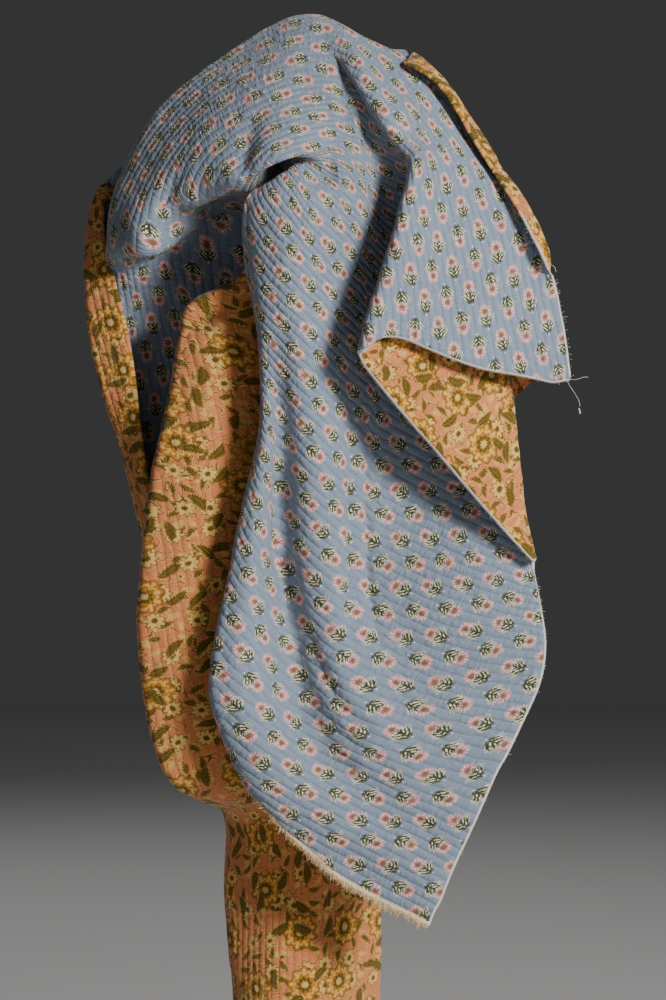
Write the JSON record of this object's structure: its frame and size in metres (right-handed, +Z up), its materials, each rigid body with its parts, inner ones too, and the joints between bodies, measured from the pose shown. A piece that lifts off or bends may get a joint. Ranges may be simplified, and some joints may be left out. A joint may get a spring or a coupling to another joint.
{
  "type": "quilted block-printed cloth, hung from one point",
  "caption": "Reversible quilted cotton cloth with a small flower print, hung from one point in soft folds, gathered to a column behind.",
  "frame": {"origin": "the hang point, on the underside of the cloth at its peak", "axes": "+Z up, +X to the right as seen by the viewer, -Y towards the viewer"},
  "size_m": [0.3918, 0.2184, 0.8869],
  "materials": {
    "quilted_cotton": "matt printed cotton, quilted"
  },
  "bodies": {
    "root": {"quilted_cloth": "quilted_cotton"}
  },
  "joints": []
}
